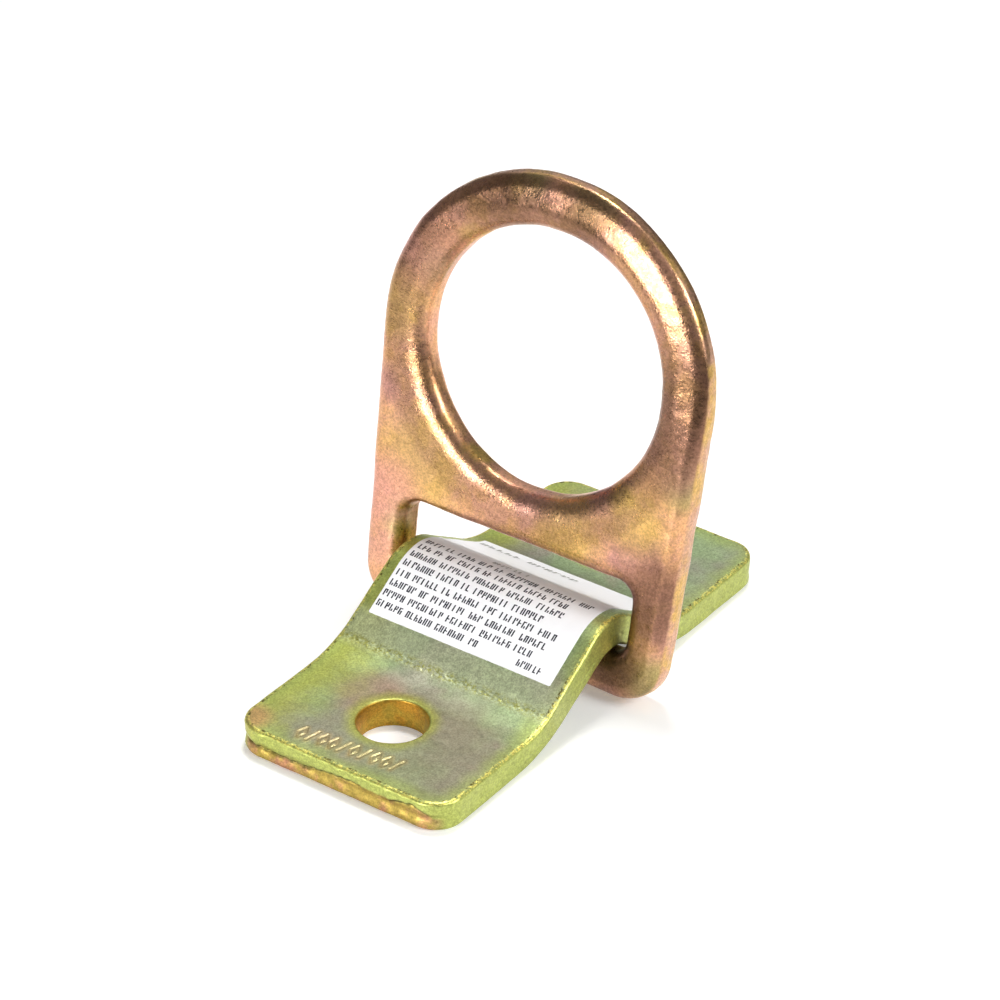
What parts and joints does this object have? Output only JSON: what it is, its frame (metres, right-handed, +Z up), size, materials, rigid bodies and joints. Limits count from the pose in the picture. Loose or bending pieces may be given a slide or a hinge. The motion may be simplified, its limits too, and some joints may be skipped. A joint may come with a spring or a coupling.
{
  "type": "roof anchor",
  "caption": "Bolt-on roof anchor: a bent steel plate with a bolt hole in each foot holds a swinging D-ring under its hump.",
  "frame": {"origin": "on the plane the feet rest on, under the middle of the hump", "axes": "+Z up, +Y along the plate towards the foot that the ring leans over, +X along the ring's bar"},
  "size_m": [0.076, 0.1128, 0.1009],
  "materials": {
    "plate_plating": "yellow zinc dichromate on rolled steel, satin",
    "ring_plating": "yellow zinc dichromate on blasted forging, satin",
    "label_vinyl": "satin vinyl"
  },
  "bodies": {
    "plate": {"anchor_plate": "plate_plating", "label": "label_vinyl"},
    "ring": {"d_ring": "ring_plating"}
  },
  "joints": [
    {"name": "ring_hinge", "type": "hinge", "parent": "plate", "child": "ring", "pos_m": [0, 0.003, 0.0055], "axis": [1, 0, 0], "range_deg": [-65, 77]}
  ]
}
